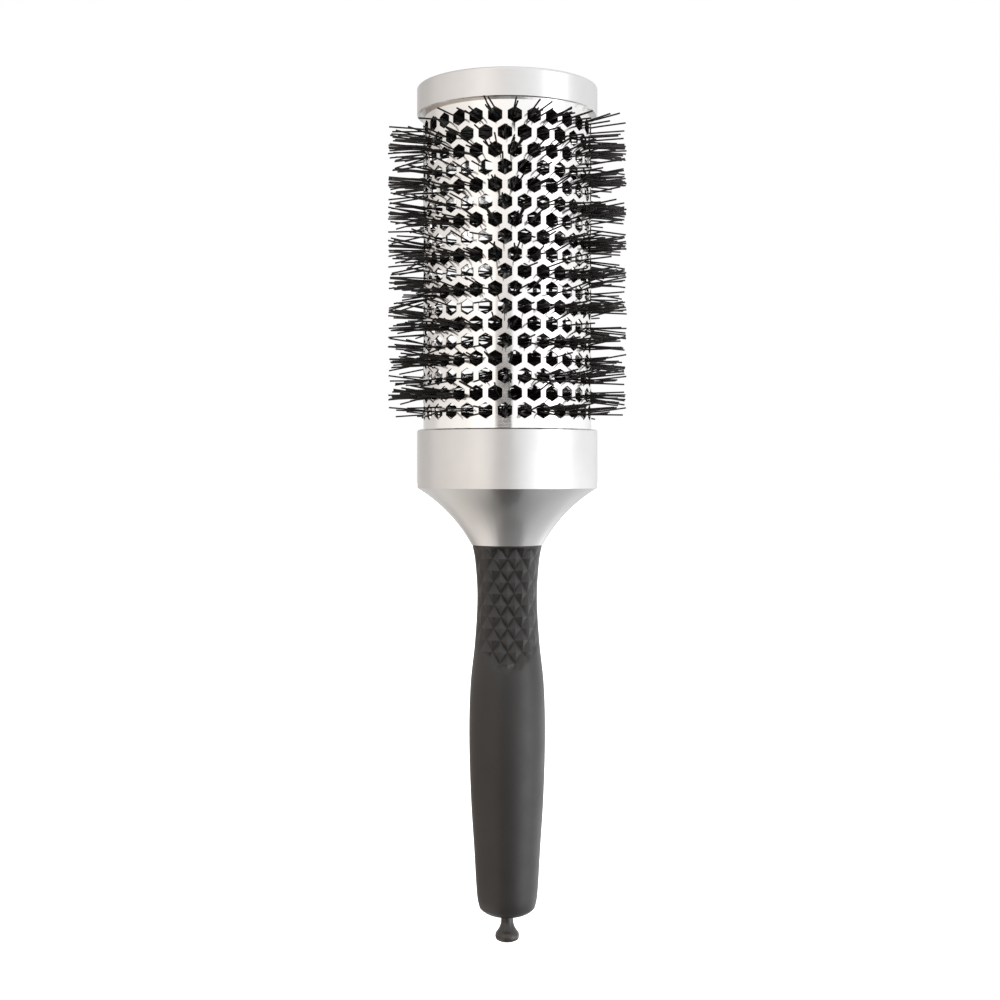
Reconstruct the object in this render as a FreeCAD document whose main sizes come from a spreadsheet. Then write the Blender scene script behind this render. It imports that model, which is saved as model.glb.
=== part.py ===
"""Round barrel brush: a perforated aluminium barrel with radial nylon bristles on a twisted wire
core, a metallised shoulder, a rubber-covered handle and a sectioning pin that pulls out of it.

The brush stands along +Z with the handle down, and -Y is its front. The origin is on the axis, at
the lowest point of the pin's knob. Lengths are in millimetres and angles in degrees.
"""

import FreeCAD, Part
import math
import os
import Sketcher

V = FreeCAD.Vector
doc = FreeCAD.newDocument("round_barrel_brush")
sheet = doc.addObject("Spreadsheet::Sheet", "dims")


# ---------------------------------------------------------------- sizes

class Size:
    """A number from the sheet, or arithmetic on such numbers, with the expression that gives it."""

    def __init__(self, value, text):
        self.value = value
        self.text = text

    @staticmethod
    def of(other):
        return other if isinstance(other, Size) else Size(float(other), str(other))

    def __add__(self, other):
        other = Size.of(other)
        return Size(self.value + other.value, f"({self.text} + {other.text})")

    def __sub__(self, other):
        other = Size.of(other)
        return Size(self.value - other.value, f"({self.text} - {other.text})")

    def __mul__(self, other):
        other = Size.of(other)
        return Size(self.value * other.value, f"({self.text} * {other.text})")

    def __truediv__(self, other):
        other = Size.of(other)
        return Size(self.value / other.value, f"({self.text} / {other.text})")


rows_used = 0


def cell(alias, value):
    """Writes one driving dimension into the sheet and returns it as a Size."""
    global rows_used
    rows_used += 1
    sheet.set(f"A{rows_used}", alias)
    sheet.set(f"B{rows_used}", str(value))
    sheet.setAlias(f"B{rows_used}", alias)
    return Size(float(value), f"dims.{alias}")


ZERO = Size(0.0, "0")

# Barrel and the two silver mouldings that close it
rim_radius = cell("rim_radius", 27.5)
tube_radius = cell("tube_radius", 25.6)
tube_wall = cell("tube_wall", 0.6)
tube_bottom = cell("tube_bottom", 146)
tube_top = cell("tube_top", 258.5)
edge_break = cell("edge_break", 0.3)
cap_bottom = cell("cap_bottom", 251.9)
cap_top = cell("cap_top", 260.6)
cap_round = cell("cap_round", 0.8)
cap_opening = cell("cap_opening", 22.5)
shoulder_foot = cell("shoulder_foot", 121.4)
shoulder_foot_radius = cell("shoulder_foot_radius", 10.9)
collar_bottom = cell("collar_bottom", 138.7)
collar_top = cell("collar_top", 156.4)
collar_bevel = cell("collar_bevel", 0.4)
flare_radius = cell("flare_radius", 46)
shoulder_web = cell("shoulder_web", 3)
cavity_radius = cell("cavity_radius", 24.0)
cavity_shoulder = cell("cavity_shoulder", 140.0)
cavity_foot_radius = cell("cavity_foot_radius", 9.4)

# Vents: hexagonal holes in staggered rings
vents_around = cell("vents_around", 28)
vent_rings = cell("vent_rings", 18)
vent_across = cell("vent_across", 4.2)
vent_turn = cell("vent_turn", 1.7)
ring_spacing = cell("ring_spacing", 5.035)
first_ring = cell("first_ring", 161.5)

# Bristles and the two wires that hold them
bristle_radius = cell("bristle_radius", 36.4)
tuft_radius = cell("tuft_radius", 0.36)
root_radius = cell("root_radius", 3.6)
root_height = cell("root_height", 1.4)
wire_radius = cell("wire_radius", 0.7)
wire_offset = cell("wire_offset", 0.72)
wire_pitch = cell("wire_pitch", 9)
core_bottom = cell("core_bottom", 153)
core_top = cell("core_top", 256)
core_bore = cell("core_bore", 1.5)

# Hubs inside the two ends of the barrel
hub_plate = cell("hub_plate", 2)
hub_skirt = cell("hub_skirt", 1.5)
hub_bottom = cell("hub_bottom", 139)
hub_boss_radius = cell("hub_boss_radius", 9)
hub_neck_radius = cell("hub_neck_radius", 7.5)
hub_neck_top_radius = cell("hub_neck_top_radius", 6)
hub_boss_top = cell("hub_boss_top", 157)
hub_skirt_top = cell("hub_skirt_top", 155)
tip_boss_radius = cell("tip_boss_radius", 4)
tip_boss_bottom = cell("tip_boss_bottom", 252.5)
tip_skirt_bottom = cell("tip_skirt_bottom", 254.5)
tip_slots = cell("tip_slots", 16)
tip_slot_width = cell("tip_slot_width", 2.2)
tip_slot_start = cell("tip_slot_start", 8)
tip_slot_end = cell("tip_slot_end", 19)

# Handle
stem_radius = cell("stem_radius", 6)
stem_top = cell("stem_top", 151)
handle_core_radius = cell("handle_core_radius", 7)
handle_bottom = cell("handle_bottom", 10.7)
pin_well_radius = cell("pin_well_radius", 3.2)
pin_well_top = cell("pin_well_top", 105)
plug_bottom = cell("plug_bottom", 8.5)
plug_rim_radius = cell("plug_rim_radius", 8.45)
plug_flat_radius = cell("plug_flat_radius", 4.2)
plug_round = cell("plug_round", 6.5)
plug_spigot_radius = cell("plug_spigot_radius", 5)
plug_spigot_top = cell("plug_spigot_top", 24)

# Sectioning pin
pin_bore = cell("pin_bore", 2.0)
pin_collar_radius = cell("pin_collar_radius", 1.9)
pin_collar_top = cell("pin_collar_top", 16)
pin_radius = cell("pin_radius", 1.0)
pin_foot = cell("pin_foot", 5)
pin_top = cell("pin_top", 97)
pin_taper = cell("pin_taper", 9)
pin_point = cell("pin_point", 0.35)
knob_dome = cell("knob_dome", 7)
knob_rim_radius = cell("knob_rim_radius", 3.4)
knob_rim = cell("knob_rim", 1.0)
knob_bead = cell("knob_bead", 2.1)
knob_waist_radius = cell("knob_waist_radius", 3.2)
knob_waist = cell("knob_waist", 3.4)
knob_flare = cell("knob_flare", 5.5)
knob_neck = cell("knob_neck", 6.4)
seal_middle = cell("seal_middle", 12)
seal_radius = cell("seal_radius", 0.3)
seal_reach = cell("seal_reach", 1.97)

# The grip's outer form: a height and a radius at each station, from the lower end to the rim
GRIP_STATIONS = [
    (handle_bottom, plug_rim_radius),
    (cell("heel_height", 13.9), cell("heel_radius", 9.18)),
    (cell("palm_height", 28.5), cell("palm_radius", 10.1)),
    (cell("swell_height", 45), cell("swell_radius", 11.12)),
    (cell("belly_height", 64), cell("belly_radius", 11.62)),
    (cell("thumb_height", 79), cell("thumb_radius", 11.2)),
    (cell("tuck_height", 92), cell("tuck_radius", 9.85)),
    (cell("waist_height", 105.5), cell("waist_radius", 9.15)),
    (cell("throat_height", 116.5), cell("throat_radius", 9.8)),
    (shoulder_foot, cell("grip_rim_radius", 10.7)),
]
doc.recompute()


# ---------------------------------------------------------------- modelling helpers

def new_body(label):
    body = doc.addObject("PartDesign::Body", label)
    body.Label = label
    return body


def origin_feature(body, role):
    return next(f for f in body.Origin.OriginFeatures if f.Role == role)


def new_sketch(body, role, name, out=None):
    """A sketch on one of the body's own origin planes, moved along the plane's normal (out)."""
    sketch = body.newObject("Sketcher::SketchObject", f"{body.Label}_{name}")
    sketch.AttachmentSupport = [(origin_feature(body, role), "")]
    sketch.MapMode = "FlatFace"
    if out is not None:
        sketch.setExpression("AttachmentOffset.Base.z", out.text)
    return sketch


def bind(sketch, kind, *places, size):
    """Adds a dimensional constraint and gives it the Size's expression."""
    index = sketch.addConstraint(Sketcher.Constraint(kind, *places, size.value))
    sketch.setExpression(f"Constraints[{index}]", size.text)


def arc_between(start, end, radius, side):
    """The short arc of this radius that joins two points, as a sketch wants it: anticlockwise. Side
    +1 bulges to the left of the way from start to end, and -1 to the right."""
    chord = end - start
    left = V(-chord.y, chord.x, 0).normalize()
    to_centre = math.sqrt(max(radius ** 2 - (chord.Length / 2) ** 2, 0))
    centre = (start + end) * 0.5 - left * (side * to_centre)
    first, last = (end, start) if side > 0 else (start, end)
    angles = [math.atan2(p.y - centre.y, p.x - centre.x) for p in (first, last)]
    if angles[1] < angles[0]:
        angles[1] += 2 * math.pi
    return Part.ArcOfCircle(Part.Circle(centre, V(0, 0, 1), radius), *angles)


def draw_outline(sketch, outline):
    """Draws a closed outline of (x, y) Sizes and binds every corner to the sheet. A third entry in a
    point, (radius, side), makes the edge that leaves it an arc."""
    count = len(outline)
    corners = [V(point[0].value, point[1].value, 0) for point in outline]
    ends = []
    for i, point in enumerate(outline):
        start, end = corners[i], corners[(i + 1) % count]
        if len(point) == 2:
            ends.append((sketch.addGeometry(Part.LineSegment(start, end)), 1, 2))
            continue
        radius, side = point[2]
        index = sketch.addGeometry(arc_between(start, end, radius.value, side))
        ends.append((index, 2, 1) if side > 0 else (index, 1, 2))
        bind(sketch, "Radius", index, size=radius)
    for i, point in enumerate(outline):
        index, first, _ = ends[i]
        before, _, last = ends[i - 1]
        sketch.addConstraint(Sketcher.Constraint("Coincident", before, last, index, first))
        for kind, axis, size in (("DistanceX", -2, point[0]), ("DistanceY", -1, point[1])):
            if size.value == 0:
                sketch.addConstraint(Sketcher.Constraint("PointOnObject", index, first, axis))
            else:
                bind(sketch, kind, -1, 1, index, first, size=size)
    return sketch


def draw_circle(sketch, radius, height=None):
    """A circle about the sketch's origin, or about a point above it."""
    centre = V(0, height.value if height else 0, 0)
    index = sketch.addGeometry(Part.Circle(centre, V(0, 0, 1), radius.value))
    if height:
        sketch.addConstraint(Sketcher.Constraint("PointOnObject", index, 3, -2))
        bind(sketch, "DistanceY", -1, 1, index, 3, size=height)
    else:
        sketch.addConstraint(Sketcher.Constraint("Coincident", index, 3, -1, 1))
    bind(sketch, "Radius", index, size=radius)
    return sketch


def turned(label, outline):
    """A body turned about the Z axis from an outline of (radius, height) points."""
    body = new_body(label)
    sketch = draw_outline(new_sketch(body, "XZ_Plane", "profile"), outline)
    revolution = body.newObject("PartDesign::Revolution", f"{label}_turned")
    revolution.Profile = sketch
    revolution.ReferenceAxis = (sketch, ["V_Axis"])
    revolution.Angle = 360
    return body


def polar(body, feature, count):
    """Repeats a feature around the Z axis and makes the pattern the body's tip."""
    pattern = body.newObject("PartDesign::PolarPattern", f"{feature.Name}_around")
    pattern.Originals = [feature]
    pattern.Axis = (origin_feature(body, "Z_Axis"), [""])
    pattern.Angle = 360
    pattern.setExpression("Occurrences", count.text)
    pattern.Refine = False
    body.Tip = pattern
    return pattern


def primitive(kind, name, height=None, **sizes):
    """A Part primitive on the Z axis, with its sizes and its height bound to the sheet."""
    shape = doc.addObject(f"Part::{kind}", name)
    for key, size in sizes.items():
        shape.setExpression(key, size.text)
    if height is not None:
        shape.setExpression("Placement.Base.z", height.text)
    return shape


# ---------------------------------------------------------------- barrel

def make_barrel_tube():
    """A drawn aluminium tube, punched with staggered rings of hexagonal vents. Each cutter goes
    right through the tube, so it makes two vents, opposite each other."""
    outer = primitive("Cylinder", "tube_outside", tube_bottom,
                      Radius=tube_radius, Height=tube_top - tube_bottom)
    inner = primitive("Cylinder", "tube_inside", tube_bottom,
                      Radius=tube_radius - tube_wall, Height=tube_top - tube_bottom)
    wall = doc.addObject("Part::Cut", "tube_wall_shape")
    wall.Base, wall.Tool = outer, inner
    reach = tube_radius + 2
    step = 360 / vents_around.value
    cutters = []
    for ring in range(int(vent_rings.value)):
        height = first_ring + ring_spacing * ring
        for k in range(int(vents_around.value) // 2):
            angle = math.radians((k + 0.5 * (ring % 2)) * step - vent_turn.value)
            away = V(math.sin(angle), -math.cos(angle), 0)
            cutter = primitive("Prism", f"vent_cutter_{ring + 1}_{k + 1}",
                               Circumradius=vent_across / math.sqrt(3), Height=reach * 2)
            turn = FreeCAD.Rotation(V(0, 0, 1), away.cross(V(0, 0, 1)), away, "ZXY")
            cutter.Placement = FreeCAD.Placement(away * -reach.value, turn)
            cutter.setExpression("Placement.Base.z", height.text)
            cutters.append(cutter)
    vents = doc.addObject("Part::Compound", "vent_cutters")
    vents.Links = cutters
    tube = doc.addObject("Part::Cut", "barrel_tube")
    tube.Base, tube.Tool = wall, vents
    doc.recompute()
    taken = wall.Shape.Volume - tube.Shape.Volume
    hexagon = vent_across.value ** 2 * math.sqrt(3) / 2
    expected = hexagon * tube_wall.value * vents_around.value * vent_rings.value
    print(f"barrel_tube: vents took {taken:.0f} mm3 of the wall, about {expected:.0f} expected")
    return tube


def make_tip_cap():
    """The silver ring over the barrel's free end, with a lip that holds the vent disc in."""
    return turned("tip_cap", [
        (tube_radius, cap_bottom),
        (rim_radius - edge_break, cap_bottom),
        (rim_radius, cap_bottom + edge_break),
        (rim_radius, cap_top - cap_round, (cap_round, -1)),
        (rim_radius - cap_round, cap_top),
        (cap_opening + edge_break, cap_top),
        (cap_opening, cap_top - edge_break),
        (cap_opening, tube_top),
        (tube_radius, tube_top),
    ])


def make_tip_vent_disc():
    """The slotted disc inside the cap. Its boss centres the upper end of the wire core."""
    outer = tube_radius - tube_wall
    under = tube_top - hub_plate
    body = turned("tip_vent_disc", [
        (core_bore, tip_boss_bottom),
        (tip_boss_radius, tip_boss_bottom),
        (tip_boss_radius, under),
        (outer - hub_skirt, under),
        (outer - hub_skirt, tip_skirt_bottom),
        (outer, tip_skirt_bottom),
        (outer, tube_top),
        (ZERO, tube_top),
        (ZERO, core_top),
        (core_bore, core_top),
    ])
    doc.recompute()
    solid = body.Shape.Volume
    half = tip_slot_width / 2
    slot = draw_outline(new_sketch(body, "XY_Plane", "slot", out=under - 1), [
        (tip_slot_start, ZERO - half),
        (tip_slot_end, ZERO - half),
        (tip_slot_end, half),
        (tip_slot_start, half),
    ])
    cut = body.newObject("PartDesign::Pocket", "tip_vent_disc_slot")
    cut.Profile = slot
    cut.Reversed = True
    cut.setExpression("Length", (hub_plate + 2).text)
    polar(body, cut, tip_slots)
    doc.recompute()
    print(f"tip_vent_disc: slots took {solid - body.Shape.Volume:.0f} mm3")
    return body


def make_barrel_hub():
    """The hub inside the barrel's lower end. The wire core is fixed in its boss from above, and the
    handle's stem from below."""
    outer = tube_radius - tube_wall
    plate_bottom = stem_top - hub_plate
    return turned("barrel_hub", [
        (stem_radius, hub_bottom),
        (hub_boss_radius, hub_bottom),
        (hub_boss_radius, plate_bottom),
        (outer, plate_bottom),
        (outer, hub_skirt_top),
        (outer - hub_skirt, hub_skirt_top),
        (outer - hub_skirt, stem_top),
        (hub_neck_radius, stem_top),
        (hub_neck_top_radius, hub_boss_top),
        (core_bore, hub_boss_top),
        (core_bore, core_bottom),
        (ZERO, core_bottom),
        (ZERO, stem_top),
        (stem_radius, stem_top),
    ])


def make_shoulder():
    """The silver collar around the barrel's lower end and the trumpet-shaped cone below it."""
    floor = shoulder_foot + shoulder_web
    return turned("shoulder_collar", [
        (stem_radius, shoulder_foot),
        (shoulder_foot_radius, shoulder_foot, (flare_radius, 1)),
        (rim_radius, collar_bottom),
        (rim_radius, collar_top - collar_bevel),
        (rim_radius - collar_bevel, collar_top),
        (tube_radius, collar_top),
        (tube_radius, tube_bottom),
        (cavity_radius, tube_bottom),
        (cavity_radius, cavity_shoulder, (flare_radius + shoulder_web, -1)),
        (cavity_foot_radius, floor),
        (stem_radius, floor),
    ])


# ---------------------------------------------------------------- bristles

def make_core_wire(label, start_angle):
    """One of the two steel wires that are twisted together and grip the bristles' roots."""
    path = primitive("Helix", f"{label}_path", core_bottom, Pitch=wire_pitch,
                     Height=core_top - core_bottom, Radius=wire_offset)
    section = primitive("Circle", f"{label}_section", core_bottom, Radius=wire_radius)
    slope = math.degrees(math.atan2(2 * math.pi * wire_offset.value, wire_pitch.value))
    section.Placement.Rotation = FreeCAD.Rotation(V(1, 0, 0), -slope)
    section.setExpression("Placement.Base.x", wire_offset.text)
    wire = doc.addObject("Part::Sweep", label)
    wire.Sections = [section]
    wire.Spine = (path, ["Edge1"])
    wire.Solid = True
    wire.Frenet = True
    wire.Placement = FreeCAD.Placement(V(), FreeCAD.Rotation(V(0, 0, 1), start_angle))
    return wire


def make_bristle_row(ring):
    """One ring of bristles: a root disc around the core, and a straight arm out through each vent.
    An arm has the section of the two or three nylon bristles that it stands for."""
    label = f"bristle_row_{ring + 1:02d}"
    height = first_ring + ring_spacing * ring
    body = new_body(label)
    root = draw_circle(new_sketch(body, "XY_Plane", "root", out=height - root_height / 2), root_radius)
    draw_circle(root, core_bore)
    disc = body.newObject("PartDesign::Pad", f"{label}_disc")
    disc.Profile = root
    disc.setExpression("Length", root_height.text)
    start = core_bore + 1
    section = draw_circle(new_sketch(body, "XZ_Plane", "section", out=start), tuft_radius, height)
    arm = body.newObject("PartDesign::Pad", f"{label}_arm")
    arm.Profile = section
    arm.setExpression("Length", (bristle_radius - start).text)
    polar(body, arm, vents_around)
    turn = 0.5 * (ring % 2) * 360 / vents_around.value - vent_turn.value
    body.Placement = FreeCAD.Placement(V(), FreeCAD.Rotation(V(0, 0, 1), turn))
    return body


# ---------------------------------------------------------------- handle

def make_handle_core():
    """The hard plastic rod inside the handle, with the stem that holds the barrel and the long well
    that takes the pin."""
    return turned("handle_core", [
        (plug_spigot_radius, handle_bottom),
        (handle_core_radius, handle_bottom),
        (handle_core_radius, shoulder_foot),
        (stem_radius, shoulder_foot),
        (stem_radius, stem_top),
        (ZERO, stem_top),
        (ZERO, pin_well_top),
        (pin_well_radius, pin_well_top),
        (pin_well_radius, plug_spigot_top),
        (plug_spigot_radius, plug_spigot_top),
    ])


def make_handle_grip():
    """The soft rubber sleeve, lofted through its stations and bored to fit the rod."""
    body = new_body("handle_grip")
    rings = []
    for i, (height, radius) in enumerate(GRIP_STATIONS):
        rings.append(draw_circle(new_sketch(body, "XY_Plane", f"station_{i}", out=height), radius))
    loft = body.newObject("PartDesign::AdditiveLoft", "handle_grip_form")
    loft.Profile = rings[0]
    loft.Sections = rings[1:]
    loft.Ruled = False
    loft.Closed = False
    doc.recompute()
    whole = body.Shape.Volume
    bore_sketch = new_sketch(body, "XY_Plane", "bore", out=handle_bottom - 1)
    bore = body.newObject("PartDesign::Pocket", "handle_grip_bore")
    bore.Profile = draw_circle(bore_sketch, handle_core_radius)
    bore.Reversed = True
    bore.setExpression("Length", (shoulder_foot - handle_bottom + 2).text)
    doc.recompute()
    length = (shoulder_foot - handle_bottom).value
    expected = math.pi * handle_core_radius.value ** 2 * length
    print(f"handle_grip: bore took {whole - body.Shape.Volume:.0f} mm3, {expected:.0f} expected")
    return body


def make_end_plug():
    """The plug in the handle's lower end, whose bore guides the pin."""
    return turned("handle_end_plug", [
        (pin_bore, plug_bottom),
        (plug_flat_radius, plug_bottom, (plug_round, -1)),
        (plug_rim_radius, handle_bottom),
        (plug_spigot_radius, handle_bottom),
        (plug_spigot_radius, plug_spigot_top),
        (pin_bore, plug_spigot_top),
    ])


# ---------------------------------------------------------------- sectioning pin

def make_pin_knob():
    """The knob that the fingers pull, with the collar that runs in the end plug's bore."""
    groove = pin_collar_radius - seal_radius
    return turned("pin_knob", [
        (ZERO, ZERO, (knob_dome, -1)),
        (knob_rim_radius, knob_rim, (knob_bead, -1)),
        (knob_waist_radius, knob_waist, (knob_flare, 1)),
        (pin_collar_radius, knob_neck),
        (pin_collar_radius, seal_middle - seal_radius),
        (groove, seal_middle - seal_radius),
        (groove, seal_middle + seal_radius),
        (pin_collar_radius, seal_middle + seal_radius),
        (pin_collar_radius, pin_collar_top),
        (pin_radius, pin_collar_top),
        (pin_radius, pin_foot),
        (ZERO, pin_foot),
    ])


def make_pin_shaft():
    """The steel pin, with a slender point for parting hair."""
    return turned("pin_shaft", [
        (ZERO, pin_foot),
        (pin_radius, pin_foot),
        (pin_radius, pin_top - pin_taper),
        (pin_point, pin_top),
        (ZERO, pin_top),
    ])


def make_pin_seal():
    """The rubber ring in the collar's groove, whose light drag holds the pin in the handle."""
    groove = pin_collar_radius - seal_radius
    corner = seal_radius / 2
    return turned("pin_friction_ring", [
        (groove, seal_middle - seal_radius),
        (seal_reach - corner, seal_middle - seal_radius),
        (seal_reach, seal_middle - corner),
        (seal_reach, seal_middle + corner),
        (seal_reach - corner, seal_middle + seal_radius),
        (groove, seal_middle + seal_radius),
    ])


# ---------------------------------------------------------------- the whole brush

parts = [
    make_barrel_tube(),
    make_tip_cap(),
    make_tip_vent_disc(),
    make_barrel_hub(),
    make_shoulder(),
    make_core_wire("core_wire_a", 0),
    make_core_wire("core_wire_b", 180),
    make_handle_core(),
    make_handle_grip(),
    make_end_plug(),
    make_pin_knob(),
    make_pin_shaft(),
    make_pin_seal(),
]
parts += [make_bristle_row(ring) for ring in range(int(vent_rings.value))]
doc.recompute()

for item in doc.Objects:
    if "Invalid" in item.State or "Error" in item.State:
        raise RuntimeError(f"{item.Name} failed: {item.State}")
for part in parts:
    if part.Shape.isNull() or not part.Shape.isValid():
        raise RuntimeError(f"{part.Label} has no valid shape")
    if len(part.Shape.Solids) != 1:
        raise RuntimeError(f"{part.Label} has {len(part.Shape.Solids)} solids")

os.makedirs("parts", exist_ok=True)
for part in parts:
    part.Shape.exportStep(f"parts/{part.Label}.step")
    print(f"{part.Label}: {part.Shape.Volume:.1f} mm3")
print(f"{len(parts)} parts written")
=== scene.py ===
# %% [markdown]
# # A round barrel brush
#
# This brush has a thin aluminium barrel, punched with hexagonal vents. Black nylon bristles come
# out through the vents from a twisted wire core. A silver cap closes the tip, a silver collar and
# cone close the other end, and below them is a dark rubber-covered handle with a steel pin in it.
#
# The engineering model holds every piece at its true size. It is loaded first, as a fixed frame,
# and the finish is built around it: real bristles, a real faceted grip, and a material for each
# piece.

# %% Load the frame
import math
import random

import bmesh
import bpy
from mathutils import Matrix, Vector


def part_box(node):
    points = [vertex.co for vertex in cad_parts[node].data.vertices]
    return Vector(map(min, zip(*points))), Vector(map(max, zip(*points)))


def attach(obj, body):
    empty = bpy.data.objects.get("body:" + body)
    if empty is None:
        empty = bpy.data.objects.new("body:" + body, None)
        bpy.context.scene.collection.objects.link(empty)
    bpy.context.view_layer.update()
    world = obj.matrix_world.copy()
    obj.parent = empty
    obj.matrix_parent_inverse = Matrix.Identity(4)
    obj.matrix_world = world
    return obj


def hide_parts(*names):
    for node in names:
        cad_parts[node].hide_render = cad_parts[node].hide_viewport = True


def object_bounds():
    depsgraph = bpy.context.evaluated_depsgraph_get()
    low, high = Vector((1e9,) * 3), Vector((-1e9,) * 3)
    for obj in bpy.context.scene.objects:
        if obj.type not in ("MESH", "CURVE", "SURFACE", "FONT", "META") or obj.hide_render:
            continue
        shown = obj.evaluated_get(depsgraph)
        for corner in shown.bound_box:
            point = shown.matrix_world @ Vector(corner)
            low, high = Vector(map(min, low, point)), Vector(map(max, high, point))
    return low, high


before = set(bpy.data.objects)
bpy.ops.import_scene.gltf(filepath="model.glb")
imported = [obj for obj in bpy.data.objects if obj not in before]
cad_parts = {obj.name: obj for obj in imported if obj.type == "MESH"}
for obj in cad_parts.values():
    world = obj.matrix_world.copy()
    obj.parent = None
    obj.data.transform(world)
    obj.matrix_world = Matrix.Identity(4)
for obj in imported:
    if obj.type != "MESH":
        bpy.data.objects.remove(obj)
cad_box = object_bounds()
scene = bpy.context.scene
MM = 0.001
print(f"the brush is {(cad_box[1].z - cad_box[0].z) / MM:.1f} mm long")

# %% [markdown]
# ## Places taken from the frame
#
# Every new piece is placed by measuring the frame's own nodes, so it fits with no trial and error.
# The height of a ring of bristles is the middle of its node's box. The reach of the bristles is the
# farthest that any of those boxes goes from the axis.

# %% Measure the barrel and the bristles
VENTS_AROUND = 28
VENT_TURN = math.radians(1.7)
TUBE_WALL = 0.6 * MM

row_names = sorted(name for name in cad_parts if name.startswith("bristle_row_"))
row_boxes = [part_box(name) for name in row_names]
row_heights = [(low.z + high.z) / 2 for low, high in row_boxes]
bristle_reach = max(high.x for _, high in row_boxes)
tube_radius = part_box("barrel_tube")[1].x
print(f"{len(row_names)} rings of vents, {row_heights[0] / MM:.1f} to "
      f"{row_heights[-1] / MM:.1f} mm up")
print(f"the tube's radius is {tube_radius / MM:.2f} mm, the bristles' {bristle_reach / MM:.2f} mm")

# %% [markdown]
# ## The camera
#
# A long lens a little under half a metre away, held level with the lower rings of vents, shows the
# brush with almost no perspective. A small lens shift lowers the picture so that the knob is inside
# it while the camera stays level, which keeps the handle's sides straight.

# %% Camera
CAMERA_DISTANCE = 477 * MM
CAMERA_HEIGHT = 144.2 * MM
CAMERA_SIDE = -2.2 * MM
LENS = 56.2
LENS_SHIFT = -0.03

camera_data = bpy.data.cameras.new("camera")
camera_data.lens = LENS
camera_data.sensor_width = 36
camera_data.shift_y = LENS_SHIFT
camera = bpy.data.objects.new("camera", camera_data)
camera.location = (CAMERA_SIDE, -CAMERA_DISTANCE, CAMERA_HEIGHT)
camera.rotation_euler = (math.radians(90), 0, 0)
scene.collection.objects.link(camera)
scene.camera = camera
print(f"camera {CAMERA_DISTANCE / MM:.0f} mm in front, {CAMERA_HEIGHT / MM:.0f} mm up")

# %% [markdown]
# ## Studio
#
# Polished metal has no look of its own: it shows the room. This room is a white tent, so it is
# written as a brightness for every direction. It is brightest on the right, a little weaker on the
# left, and dim straight down. In front there is a narrow dark gap, where the camera looks in. The
# metal shows that gap as a dark band along its middle, which is what makes a cylinder look round.
# The camera itself sees plain white behind the brush.
#
# Lamps could do this too, but each would leave its own hard streak on the barrel, and a world made
# of smooth curves leaves none.

# %% Three small builders for the world's nodes
world = bpy.data.worlds.new("studio")
world.use_nodes = True
sky = world.node_tree
sky.nodes.clear()


def math_node(operation, first, second=0.0, third=0.0):
    """A math node on the world. Each input is a number or another node's socket."""
    node = sky.nodes.new("ShaderNodeMath")
    node.operation = operation
    for socket, value in zip(node.inputs, (first, second, third)):
        if isinstance(value, (int, float)):
            socket.default_value = value
        else:
            sky.links.new(value, socket)
    return node.outputs[0]


def curve_node(position, low, high, stops):
    """A smooth curve through (position, colour) stops, for positions from low to high."""
    place = sky.nodes.new("ShaderNodeMapRange")
    place.inputs["From Min"].default_value = low
    place.inputs["From Max"].default_value = high
    sky.links.new(position, place.inputs["Value"])
    ramp = sky.nodes.new("ShaderNodeValToRGB")
    ramp.color_ramp.interpolation = "EASE"
    elements = ramp.color_ramp.elements
    while len(elements) < len(stops):
        elements.new(0.5)
    for element, (at, colour) in zip(elements, stops):
        element.position = (at - low) / (high - low)
        element.color = (*colour, 1)
    sky.links.new(place.outputs[0], ramp.inputs[0])
    return ramp.outputs["Color"]


def falling_edge(position, middle, softness):
    """1 below the middle and 0 above it, with a smooth step between."""
    node = sky.nodes.new("ShaderNodeMapRange")
    node.interpolation_type = "SMOOTHSTEP"
    node.inputs["From Min"].default_value = middle - softness
    node.inputs["From Max"].default_value = middle + softness
    node.inputs["To Min"].default_value = 1.0
    node.inputs["To Max"].default_value = 0.0
    sky.links.new(position, node.inputs["Value"])
    return node.outputs[0]


# %% Which way a direction points: round from the front, and up from -1 to 1
direction = sky.nodes.new("ShaderNodeTexCoord")
parts = sky.nodes.new("ShaderNodeSeparateXYZ")
sky.links.new(direction.outputs["Generated"], parts.inputs[0])
rise = parts.outputs["Z"]
azimuth = math_node("ARCTAN2", parts.outputs["X"], math_node("MULTIPLY", parts.outputs["Y"], -1.0))
below = math_node("MAXIMUM", math_node("MULTIPLY", rise, -1.0), 0.0)
print("azimuth 0 is the front, and plus is to the right")

# %% The tent's cloth: its brightness by azimuth in degrees, and by rise
BRIGHTEST = 2.0
WARM = Vector((1.05, 1.0, 0.955))
NEUTRAL = Vector((1.0, 1.0, 1.0))
AROUND = [
    (-180, 0.80, NEUTRAL), (-146, 0.72, WARM), (-123, 0.76, WARM), (-100, 1.02, WARM),
    (-60, 1.20, WARM), (-35, 1.45, WARM), (-15, 1.35, WARM), (20, 1.36, NEUTRAL),
    (44, 1.45, NEUTRAL), (85, 1.35, NEUTRAL), (125, 1.22, NEUTRAL), (180, 0.80, NEUTRAL),
]
UPWARD = [
    (-1.0, 0.26), (-0.96, 0.34), (-0.93, 0.46), (-0.88, 0.6), (-0.8, 0.76), (-0.6, 0.92),
    (0.0, 1.0), (0.2, 0.90), (1.0, 0.92),
]
around = curve_node(azimuth, -math.pi, math.pi, [
    (math.radians(at), tint * level / BRIGHTEST) for at, level, tint in AROUND])
upward = curve_node(rise, -1.0, 1.0, [(at, NEUTRAL * level) for at, level in UPWARD])
print(f"{len(AROUND)} levels around, {len(UPWARD)} from floor to roof")

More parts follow.
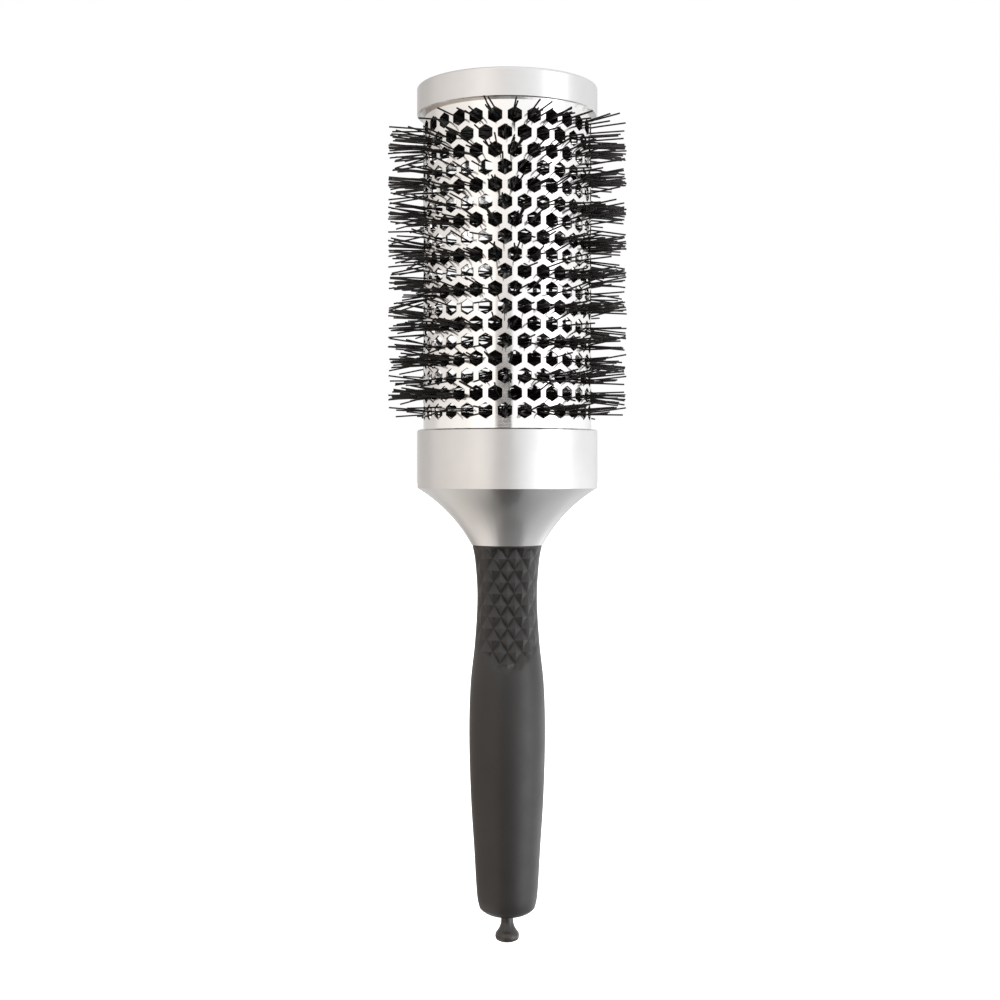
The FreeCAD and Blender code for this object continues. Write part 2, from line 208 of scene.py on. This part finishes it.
# %% The gap in front, which widens and drifts to the right towards the floor
GAP_MIDDLE = math.radians(-4.5)
GAP_HALF_WIDTH = math.radians(11)
GAP_SOFTNESS = math.radians(2.5)
GAP_WIDENING = math.radians(54)
GAP_DRIFT = math.radians(20)
GAP_DARKNESS = [
    (-1.0, 0.5), (-0.9, 0.62), (-0.8, 0.7), (-0.6, 0.72), (-0.1, 0.6), (-0.02, 0.12),
    (0.018, 0.12), (0.022, 0.97), (0.05, 0.92), (0.08, 0.5), (0.13, 0.15), (0.2, 0.0), (1.0, 0.0),
]

gap_middle = math_node("MULTIPLY_ADD", below, GAP_DRIFT, GAP_MIDDLE)
from_gap = math_node("ABSOLUTE", math_node("SUBTRACT", azimuth, gap_middle))
beyond_gap = math_node("SUBTRACT", from_gap, math_node("MULTIPLY", below, GAP_WIDENING))
in_gap = falling_edge(beyond_gap, GAP_HALF_WIDTH, GAP_SOFTNESS)
darkness = curve_node(rise, -1.0, 1.0, [(at, NEUTRAL * level) for at, level in GAP_DARKNESS])
open_share = math_node("SUBTRACT", 1.0, math_node("MULTIPLY", in_gap, darkness))
tent = sky.nodes.new("ShaderNodeVectorMath")
tent.operation = "SCALE"
sky.links.new(around, tent.inputs[0])
sky.links.new(math_node("MULTIPLY", upward, open_share), tent.inputs["Scale"])
light = tent.outputs[0]
print(f"the gap is {math.degrees(2 * GAP_HALF_WIDTH):.0f} degrees wide at the level of the camera")


# %% Panels that are brighter or darker than the cloth
def between(position, ends, softness):
    """1 between the two ends and 0 outside them, with smooth edges."""
    off_middle = math_node("ABSOLUTE", math_node("SUBTRACT", position, sum(ends) / 2))
    return falling_edge(off_middle, (ends[1] - ends[0]) / 2, softness)


# Each has azimuths in degrees, rises, the softness of both, and a colour to multiply by.
PANELS = [
    ((48, 80), (-0.35, 0.32), (3, 0.05), (1.9, 1.9, 1.9)),                # tall strip, right
    ((-150, -12), (-0.42, -0.09), (12, 0.05), (0.58, 0.50, 0.44)),        # brown wall, low left
    ((25, 150), (-0.42, -0.07), (12, 0.05), (1.5, 1.5, 1.5)),             # white wall, low right
    ((-175, -65), (-0.96, -0.55), (12, 0.06), (1.35, 1.32, 1.28)),        # lit table, left
    ((60, 170), (-0.96, -0.55), (12, 0.06), (0.78, 0.78, 0.78)),          # shaded table, right
]
for azimuths, rises, (turn_softness, rise_softness), colour in PANELS:
    sides = [math.radians(side) for side in azimuths]
    masks = [between(azimuth, sides, math.radians(turn_softness)),
             between(rise, rises, rise_softness)]
    tint = sky.nodes.new("ShaderNodeMix")
    tint.data_type = "RGBA"
    tint.inputs["A"].default_value = (1, 1, 1, 1)
    tint.inputs["B"].default_value = (*colour, 1)
    sky.links.new(math_node("MULTIPLY", *masks), tint.inputs["Factor"])
    panel = sky.nodes.new("ShaderNodeVectorMath")
    panel.operation = "MULTIPLY"
    sky.links.new(light, panel.inputs[0])
    sky.links.new(tint.outputs["Result"], panel.inputs[1])
    light = panel.outputs[0]
print(f"{len(sky.nodes)} nodes give the brightness of the tent")

# %% White for the camera, the tent for everything else
seen = sky.nodes.new("ShaderNodeBackground")
seen.inputs["Color"].default_value = (1, 1, 1, 1)
lighting = sky.nodes.new("ShaderNodeBackground")
sky.links.new(light, lighting.inputs["Color"])
lighting.inputs["Strength"].default_value = BRIGHTEST
ray = sky.nodes.new("ShaderNodeLightPath")
choose = sky.nodes.new("ShaderNodeMixShader")
world_out = sky.nodes.new("ShaderNodeOutputWorld")
sky.links.new(ray.outputs["Is Camera Ray"], choose.inputs["Fac"])
sky.links.new(lighting.outputs[0], choose.inputs[1])
sky.links.new(seen.outputs[0], choose.inputs[2])
sky.links.new(choose.outputs[0], world_out.inputs["Surface"])
scene.world = world
scene.view_settings.view_transform = "Standard"
print("white tent")

# %% [markdown]
# ## Floor
#
# The floor is a plain white table top, far enough down for the pin to be pulled right out above
# it. It isn't part of the object. Reflections don't see it, because
# the tent already has its own lower half.

# %% Floor
FLOOR_SIZE = 60.0
FLOOR_DROP = 105 * MM
floor_mesh = bpy.data.meshes.new("floor")
bm = bmesh.new()
bmesh.ops.create_grid(bm, x_segments=1, y_segments=1, size=FLOOR_SIZE / 2)
bm.to_mesh(floor_mesh)
bm.free()
floor = bpy.data.objects.new("floor", floor_mesh)
floor.location.z = cad_box[0].z - FLOOR_DROP
floor.visible_glossy = False
floor.visible_diffuse = False
scene.collection.objects.link(floor)
floor_material = bpy.data.materials.new("white_table")
floor_material.use_nodes = True
floor_shader = floor_material.node_tree.nodes["Principled BSDF"]
floor_shader.inputs["Base Color"].default_value = (0.9, 0.9, 0.9, 1)
floor_shader.inputs["Roughness"].default_value = 0.9
floor_shader.inputs["Emission Color"].default_value = (1, 1, 1, 1)
floor_shader.inputs["Emission Strength"].default_value = 1.0
floor_mesh.materials.append(floor_material)
print("white floor")

# %% [markdown]
# ## Patterns that several finishes share
#
# No real surface is one flat tone. Three small node groups give every finish its unevenness: fine
# grain for bumps, slow mottling for tone and gloss, and turned lines that run around the axis, as
# on lathe-turned or drawn metal. Each is built once and reused with different values.

# %% Helpers for building groups
def new_group(name, inputs, outputs):
    """A shader node group with named float inputs (name, default) and outputs."""
    group = bpy.data.node_groups.new(name, "ShaderNodeTree")
    for title, value in inputs:
        socket = group.interface.new_socket(title, in_out="INPUT", socket_type="NodeSocketFloat")
        socket.default_value = value
    for title in outputs:
        group.interface.new_socket(title, in_out="OUTPUT", socket_type="NodeSocketFloat")
    entry = group.nodes.new("NodeGroupInput")
    leave = group.nodes.new("NodeGroupOutput")
    return group, entry, leave


def add_node(tree, kind, **values):
    """A node with some of its input sockets set by name."""
    node = tree.nodes.new(kind)
    for title, value in values.items():
        node.inputs[title.replace("_", " ")].default_value = value
    return node


# %% Fine grain
grain, entry, leave = new_group("fine_grain", [("Scale", 1500.0)], ["Height"])
place = grain.nodes.new("ShaderNodeTexCoord")
noise = add_node(grain, "ShaderNodeTexNoise", Detail=4.0, Roughness=0.6)
grain.links.new(place.outputs["Object"], noise.inputs["Vector"])
grain.links.new(entry.outputs["Scale"], noise.inputs["Scale"])
grain.links.new(noise.outputs["Fac"], leave.inputs["Height"])
print("group", grain.name)

# %% Slow mottling, from Low to High
mottle, entry, leave = new_group(
    "mottle", [("Scale", 60.0), ("Low", 0.0), ("High", 1.0)], ["Value"])
place = mottle.nodes.new("ShaderNodeTexCoord")
noise = add_node(mottle, "ShaderNodeTexNoise", Detail=3.0, Roughness=0.55)
stretch = mottle.nodes.new("ShaderNodeMapRange")
stretch.inputs["From Min"].default_value = 0.3
stretch.inputs["From Max"].default_value = 0.7
mottle.links.new(place.outputs["Object"], noise.inputs["Vector"])
mottle.links.new(entry.outputs["Scale"], noise.inputs["Scale"])
mottle.links.new(noise.outputs["Fac"], stretch.inputs["Value"])
mottle.links.new(entry.outputs["Low"], stretch.inputs["To Min"])
mottle.links.new(entry.outputs["High"], stretch.inputs["To Max"])
mottle.links.new(stretch.outputs["Result"], leave.inputs["Value"])
print("group", mottle.name)

# %% Turned lines around the axis: slow change across, quick change along it
turned, entry, leave = new_group("turned_lines", [("Across", 30.0), ("Along", 4000.0)], ["Height"])
place = turned.nodes.new("ShaderNodeTexCoord")
squeeze = turned.nodes.new("ShaderNodeCombineXYZ")
scaled = turned.nodes.new("ShaderNodeVectorMath")
scaled.operation = "MULTIPLY"
noise = add_node(turned, "ShaderNodeTexNoise", Scale=1.0, Detail=2.0)
turned.links.new(entry.outputs["Across"], squeeze.inputs["X"])
turned.links.new(entry.outputs["Across"], squeeze.inputs["Y"])
turned.links.new(entry.outputs["Along"], squeeze.inputs["Z"])
turned.links.new(place.outputs["Object"], scaled.inputs[0])
turned.links.new(squeeze.outputs[0], scaled.inputs[1])
turned.links.new(scaled.outputs[0], noise.inputs["Vector"])
turned.links.new(noise.outputs["Fac"], leave.inputs["Height"])
print("group", turned.name)


# %% [markdown]
# ## Finishes
#
# One function builds a finish: two close tones mixed by the mottling, a roughness that wanders
# between two values, and a bump from the grain or the turned lines. What is the same all over, such
# as a coat, is set on the shader itself.

# %% The finish builder
GLOSS_TO_TONE = 2.3


def place_group(tree, group, **values):
    """A shared group in a material, with its own values."""
    node = tree.nodes.new("ShaderNodeGroup")
    node.node_tree = group
    for title, value in values.items():
        node.inputs[title].default_value = value
    return node


def finish(name, dark, light, gloss, tone_scale, bump, bump_group, bump_values, **constants):
    """A material: two tones, gloss as (least, most) roughness, and bump as (strength, depth).
    The constants are the shader's own sockets."""
    material = bpy.data.materials.new(name)
    material.use_nodes = True
    tree = material.node_tree
    shader = tree.nodes["Principled BSDF"]
    tone = place_group(tree, mottle, Scale=tone_scale)
    mix = tree.nodes.new("ShaderNodeMix")
    mix.data_type = "RGBA"
    mix.inputs["A"].default_value = (*dark, 1)
    mix.inputs["B"].default_value = (*light, 1)
    tree.links.new(tone.outputs["Value"], mix.inputs["Factor"])
    tree.links.new(mix.outputs["Result"], shader.inputs["Base Color"])
    rough = place_group(tree, mottle, Scale=tone_scale * GLOSS_TO_TONE, Low=gloss[0], High=gloss[1])
    tree.links.new(rough.outputs["Value"], shader.inputs["Roughness"])
    relief = place_group(tree, bump_group, **bump_values)
    ridge = tree.nodes.new("ShaderNodeBump")
    ridge.inputs["Strength"].default_value = bump[0]
    ridge.inputs["Distance"].default_value = bump[1]
    tree.links.new(relief.outputs["Height"], ridge.inputs["Height"])
    tree.links.new(ridge.outputs["Normal"], shader.inputs["Normal"])
    for title, value in constants.items():
        shader.inputs[title.replace("_", " ")].default_value = value
    return material


# %% Metals
barrel_metal = finish(
    "bright_barrel_aluminium", (0.76, 0.755, 0.75), (0.83, 0.825, 0.82), (0.07, 0.12), 90,
    (0.12, 0.03 * MM), turned, {"Across": 40.0, "Along": 5000.0}, Metallic=1.0)
silver_lacquer = finish(
    "satin_silver_lacquer", (0.60, 0.60, 0.60), (0.65, 0.65, 0.65), (0.28, 0.33), 70,
    (0.10, 0.03 * MM), grain, {"Scale": 3500.0}, Metallic=1.0, Coat_Weight=0.6, Coat_Roughness=0.06)
wire_steel = finish(
    "galvanised_wire", (0.36, 0.36, 0.36), (0.5, 0.5, 0.5), (0.3, 0.5), 400,
    (0.3, 0.05 * MM), grain, {"Scale": 6000.0}, Metallic=1.0)
pin_steel = finish(
    "polished_pin_steel", (0.55, 0.55, 0.56), (0.64, 0.64, 0.65), (0.14, 0.24), 200,
    (0.1, 0.02 * MM), turned, {"Across": 200.0, "Along": 9000.0}, Metallic=1.0)
print("metals:", barrel_metal.name, silver_lacquer.name, wire_steel.name, pin_steel.name)

# %% Plastics and rubber
grip_rubber = finish(
    "soft_touch_rubber", (0.0175, 0.0165, 0.0160), (0.0235, 0.0220, 0.0213), (0.38, 0.46), 55,
    (0.25, 0.06 * MM), grain, {"Scale": 5200.0}, Specular_IOR_Level=0.45)
hard_plastic = finish(
    "dark_moulded_plastic", (0.0175, 0.0165, 0.0165), (0.0235, 0.0225, 0.022), (0.34, 0.42), 80,
    (0.18, 0.05 * MM), grain, {"Scale": 3800.0})
knob_plastic = finish(
    "semi_gloss_knob_plastic", (0.029, 0.0265, 0.025), (0.037, 0.034, 0.032), (0.24, 0.32), 160,
    (0.1, 0.03 * MM), grain, {"Scale": 6000.0})
black_plastic = finish(
    "black_heatproof_plastic", (0.012, 0.012, 0.013), (0.022, 0.022, 0.022), (0.4, 0.55), 90,
    (0.2, 0.05 * MM), grain, {"Scale": 3000.0})
ring_rubber = finish(
    "black_ring_rubber", (0.012, 0.012, 0.012), (0.02, 0.02, 0.02), (0.5, 0.65), 300,
    (0.2, 0.03 * MM), grain, {"Scale": 7000.0})
nylon = finish(
    "black_nylon", (0.0075, 0.0060, 0.0050), (0.0135, 0.0108, 0.0092), (0.32, 0.45), 220,
    (0.1, 0.01 * MM), grain, {"Scale": 9000.0}, Specular_IOR_Level=0.22)
print("plastics:", grip_rubber.name, hard_plastic.name, knob_plastic.name, black_plastic.name,
      ring_rubber.name, nylon.name)


# %% [markdown]
# ## Dressing the pieces that stay as engineered
#
# The cap, barrel, collar, hubs, wires, end plug, knob and pin are turned or punched pieces whose
# shape is already exact. They only need their finish.

# %% Dress the engineered pieces
def dress(node, material):
    """Puts one finish on every material slot of a node."""
    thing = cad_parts[node]
    if not thing.material_slots:
        thing.data.materials.append(material)
    for slot in thing.material_slots:
        slot.material = material


DRESSED = {
    "barrel_tube": barrel_metal,
    "tip_cap": silver_lacquer,
    "shoulder_collar": silver_lacquer,
    "tip_vent_disc": black_plastic,
    "barrel_hub": black_plastic,
    "core_wire_a": wire_steel,
    "core_wire_b": wire_steel,
    "handle_core": hard_plastic,
    "handle_end_plug": hard_plastic,
    "pin_knob": knob_plastic,
    "pin_shaft": pin_steel,
    "pin_friction_ring": ring_rubber,
}
for node, material in DRESSED.items():
    dress(node, material)
print(f"{len(DRESSED)} nodes dressed")


# %% Put a finished mesh on its body
def add_piece(name, bm, material, body, slot, *nodes, sharp_above=None):
    """Makes an object of a bmesh, which rides on a body and stands for some nodes of the frame."""
    mesh = bpy.data.meshes.new(name)
    bm.to_mesh(mesh)
    bm.free()
    mesh.materials.append(material)
    mesh.shade_smooth()
    if sharp_above is not None:
        mesh.set_sharp_from_angle(angle=math.radians(sharp_above))
    piece = bpy.data.objects.new(name, mesh)
    scene.collection.objects.link(piece)
    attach(piece, body)
    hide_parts(*nodes)
    return piece


# %% [markdown]
# ## Bristles
#
# The bristles are cut nylon filaments, about 0.5 mm thick, clamped between two wires that are then
# twisted. The twist winds them into a double helix inside the barrel. Each filament finds its way
# out through the nearest vent, so the brush shows dense bands where the helix meets a ring of
# vents and crossing strays between. A hair system would hide that order, and straight spokes would
# look like a drawing. Here every filament starts on the helix, goes through one vent and is
# trimmed at the same reach, with its own lean and bow.

# %% One filament to copy
FILAMENT_RADIUS = 0.26 * MM
FILAMENT_SIDES = 5
FILAMENT_RINGS = 5

filament = bpy.data.meshes.new("filament")
bm = bmesh.new()
bmesh.ops.create_cone(
    bm, cap_ends=True, segments=FILAMENT_SIDES, radius1=FILAMENT_RADIUS, radius2=FILAMENT_RADIUS,
    depth=1.0, matrix=Matrix.Translation((0, 0, 0.5)))
sides = [edge for edge in bm.edges if abs(edge.verts[0].co.z - edge.verts[1].co.z) > 0.5]
bmesh.ops.subdivide_edges(bm, edges=sides, cuts=FILAMENT_RINGS - 1)
bm.to_mesh(filament)
bm.free()
print(f"a filament has {len(filament.polygons)} faces")


# %% Bend the copy from the core, through a vent, to the trimmed tip
def grow(bm, root, vent, bow, reach):
    """Adds a filament that starts at root, passes through vent, bows sideways and ends at reach."""
    first = len(bm.verts)
    bm.from_mesh(filament)
    bm.verts.ensure_lookup_table()
    along = vent - root
    flat = Vector((vent.x - root.x, vent.y - root.y, 0))
    share = (reach - math.hypot(root.x, root.y)) / flat.length
    side = along.cross(Vector((0, 0, 1))).normalized()
    up = side.cross(along).normalized()
    for vert in bm.verts[first:]:
        travel = vert.co.z * share
        bend = bow * travel * (travel - 1)
        vert.co = root + along * travel + side * (vert.co.x + bend.x) + up * (vert.co.y + bend.y)


# %% The helix, and how freely the filaments stray from it
HELIX_LEAD = 21.2 * MM
HELIX_START = 4.0 * MM
BAND_WIDTH = 2.1 * MM
STRAYS = 0.8
BAND_COUNT = 5.0
CORE_RADIUS = 1.2 * MM
VENT_SPREAD = 1.25 * MM
ROOT_SPREAD = 0.9 * MM
BOW = 1.1 * MM
TRIM_SPREAD = 0.25 * MM
END_SLACK = 1.0 * MM
ROOT_LEAN = (0.5, 0.9)
VENT_SCATTER = 0.6


# %% Fill one ring of vents
def to_helix(height, angle):
    """How far a height is above the nearest strand of the double helix, at this angle."""
    turn = HELIX_LEAD / 2
    above = height - HELIX_START + angle / math.pi * turn
    return (above + turn / 2) % turn - turn / 2


def bristle_row(index, rng):
    """All filaments of one ring of vents."""
    bm = bmesh.new()
    for k in range(VENTS_AROUND):
        angle = (k + 0.5 * (index % 2)) * 2 * math.pi / VENTS_AROUND - VENT_TURN
        out = Vector((math.sin(angle), -math.cos(angle), 0))
        side = Vector((math.cos(angle), math.sin(angle), 0))
        gap = to_helix(row_heights[index], angle)
        count = int(STRAYS + BAND_COUNT * math.exp(-((gap / BAND_WIDTH) ** 2)) + rng.random())
        for _ in range(count):
            root_height = row_heights[index] - gap * rng.uniform(*ROOT_LEAN)
            root_height += rng.gauss(0, ROOT_SPREAD)
            root_height = max(root_height, row_heights[0] - END_SLACK)
            root_height = min(root_height, row_heights[-1] + END_SLACK)
            root = out * CORE_RADIUS + Vector((0, 0, root_height))
            spread = [max(-1.0, min(1.0, rng.gauss(0, VENT_SCATTER))) * VENT_SPREAD
                      for _ in range(2)]
            vent = out * (tube_radius - TUBE_WALL / 2) + side * spread[0]
            vent.z = row_heights[index] + spread[1]
            bow = Vector((rng.gauss(0, BOW), rng.gauss(0, BOW), 0))
            grow(bm, root, vent, bow, bristle_reach - abs(rng.gauss(0, TRIM_SPREAD)))
    return bm


# %% Grow all the rings
SEED = 100

total = 0
for index, name in enumerate(row_names):
    bm = bristle_row(index, random.Random(SEED + index))
    total += len(bm.verts) // len(filament.vertices)
    add_piece(name.replace("row", "ring"), bm, nylon, "brush", "bristle_nylon", name)
print(f"{total} bristles in {len(row_names)} rings")

# %% [markdown]
# ## Grip
#
# The grip is a soft rubber sleeve, waisted under the cone and fuller in the palm. Where the fingers
# turn the brush it is moulded into diamond-shaped pyramids. A bump map would look painted, so the
# pyramids are real relief: the sleeve is spun from its profile, and then each point of the finger
# zone is moved in, to a depth that is nothing at a pyramid's peak and most in the valleys.

# %% The profile, as height and radius in millimetres
GRIP_STATIONS = [
    (10.7, 8.45), (13.9, 9.18), (28.5, 10.1), (45, 11.12), (64, 11.62),
    (79, 11.2), (92, 9.85), (105.5, 9.15), (116.5, 9.8), (121.4, 10.7),
]
LOWER_LEAN = 1.6
UPPER_LEAN = 1.3


def grip_radius(height):
    """The sleeve's radius at a height, by a smooth curve through the stations. Both in metres.
    Past each end, the profile goes on with the last slope times its lean."""
    z = height / MM
    points = GRIP_STATIONS
    i = max(0, min(len(points) - 2, sum(1 for station, _ in points if station <= z) - 1))
    (z0, r0), (z1, r1) = points[i], points[i + 1]
    before = points[i - 1] if i else (z0 - (z1 - z0), r0 - (r1 - r0) * LOWER_LEAN)
    after = points[i + 2] if i + 2 < len(points) else (z1 + (z1 - z0), r1 + (r1 - r0) * UPPER_LEAN)
    slope0 = (r1 - before[1]) / (z1 - before[0])
    slope1 = (after[1] - r0) / (after[0] - z0)
    span = z1 - z0
    t = (z - z0) / span
    radius = (
        (2 * t ** 3 - 3 * t ** 2 + 1) * r0 + (t ** 3 - 2 * t ** 2 + t) * span * slope0
        + (-2 * t ** 3 + 3 * t ** 2) * r1 + (t ** 3 - t ** 2) * span * slope1)
    return radius * MM


# %% Relief of the finger zone
DIAMONDS_AROUND = 12
DIAMOND_HALF_HEIGHT = 3.5 * MM
STEPS_PER_HALF = 6
RELIEF = 1.5 * MM
CREASE_ANGLE = 14
ZONE_TOP = 121.0 * MM
ZONE_BOTTOM = 87.5 * MM
ZONE_POINT = 4.0 * MM
ZONE_FADE = 2.0 * MM
ZONE_TOP_FADE = 1.0 * MM


def pyramid(angle, height):
    """0 in the valleys and 1 at a diamond's peak. Peaks line up with the front of the brush."""
    across = abs((angle / (math.pi / DIAMONDS_AROUND) + 1) % 2 - 1)
    along = abs(((ZONE_TOP - height) / DIAMOND_HALF_HEIGHT + 1) % 2 - 1)
    return abs(1 - across - along)


def zone_share(angle, height):
    """1 in the finger zone at front and back, 0 outside it and at the sides, where the mould parts.
    The zone's lower edge comes to a point at front and back."""
    bottom = ZONE_BOTTOM - ZONE_POINT * math.cos(2 * angle)
    lower = max(0.0, min(1.0, (height - bottom) / ZONE_FADE))
    upper = max(0.0, min(1.0, (ZONE_TOP - height) / ZONE_TOP_FADE))
    return min(lower, upper) * math.cos(angle) ** 2


def sunk(angle, height):
    """How far the relief moves a point of the sleeve in."""
    return RELIEF * zone_share(angle, height) * (1 - pyramid(angle, height))


# %% Spin the sleeve
SLEEVE_BORE = 7.0 * MM
PLAIN_STEP = 1.2 * MM

grip_low, grip_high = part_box("handle_grip")
steps = DIAMONDS_AROUND * 2 * STEPS_PER_HALF
pitch = DIAMOND_HALF_HEIGHT / STEPS_PER_HALF

heights = [ZONE_TOP]
while heights[0] > ZONE_BOTTOM - ZONE_POINT - pitch:
    heights.insert(0, heights[0] - pitch)
while heights[0] - PLAIN_STEP - 0.1 * MM > grip_low.z:
    heights.insert(0, heights[0] - PLAIN_STEP)
heights = [grip_low.z] + heights + [(ZONE_TOP + grip_high.z) / 2, grip_high.z]
outline = [Vector((SLEEVE_BORE, 0, grip_low.z))]
outline += [Vector((grip_radius(z), 0, z)) for z in heights]
outline += [Vector((SLEEVE_BORE, 0, grip_high.z))]

bm = bmesh.new()
points = [bm.verts.new(p) for p in outline]
edges = [bm.edges.new(pair) for pair in zip(points, points[1:])]
bmesh.ops.spin(
    bm, geom=points + edges, cent=(0, 0, 0), axis=(0, 0, 1), angle=2 * math.pi, steps=steps,
    use_merge=True)
bmesh.ops.rotate(bm, verts=bm.verts, cent=(0, 0, 0), matrix=Matrix.Rotation(-math.pi / 2, 3, "Z"))
print(f"sleeve: {len(bm.verts)} points, {steps} around, {len(heights)} rings")


# %% Split each quad of the zone along the crease that crosses it
def place_of(point):
    """The angle from the front and the height of a point of the sleeve."""
    return math.atan2(point.x, -point.y), point.z


for face in list(bm.faces):
    angle, height = place_of(face.calc_center_median())
    if len(face.verts) != 4 or not zone_share(angle, height):
        continue
    corners = [sunk(*place_of(vert.co)) for vert in face.verts]
    middle_depth = sunk(angle, height)
    start = min((0, 1), key=lambda i: abs((corners[i] + corners[i + 2]) / 2 - middle_depth))
    bmesh.utils.face_split(face, face.verts[start], face.verts[start + 2])

# %% Press the diamonds in
for vert in bm.verts:
    radius = math.hypot(vert.co.x, vert.co.y)
    if radius < SLEEVE_BORE + 0.1 * MM:
        continue
    depth = sunk(*place_of(vert.co))
    vert.co.x *= (radius - depth) / radius
    vert.co.y *= (radius - depth) / radius
bmesh.ops.recalc_face_normals(bm, faces=bm.faces)
grip = add_piece("handle_sleeve", bm, grip_rubber, "brush", "grip_rubber", "handle_grip",
                 sharp_above=CREASE_ANGLE)
print(f"{grip.name}: {len(grip.data.polygons)} faces")
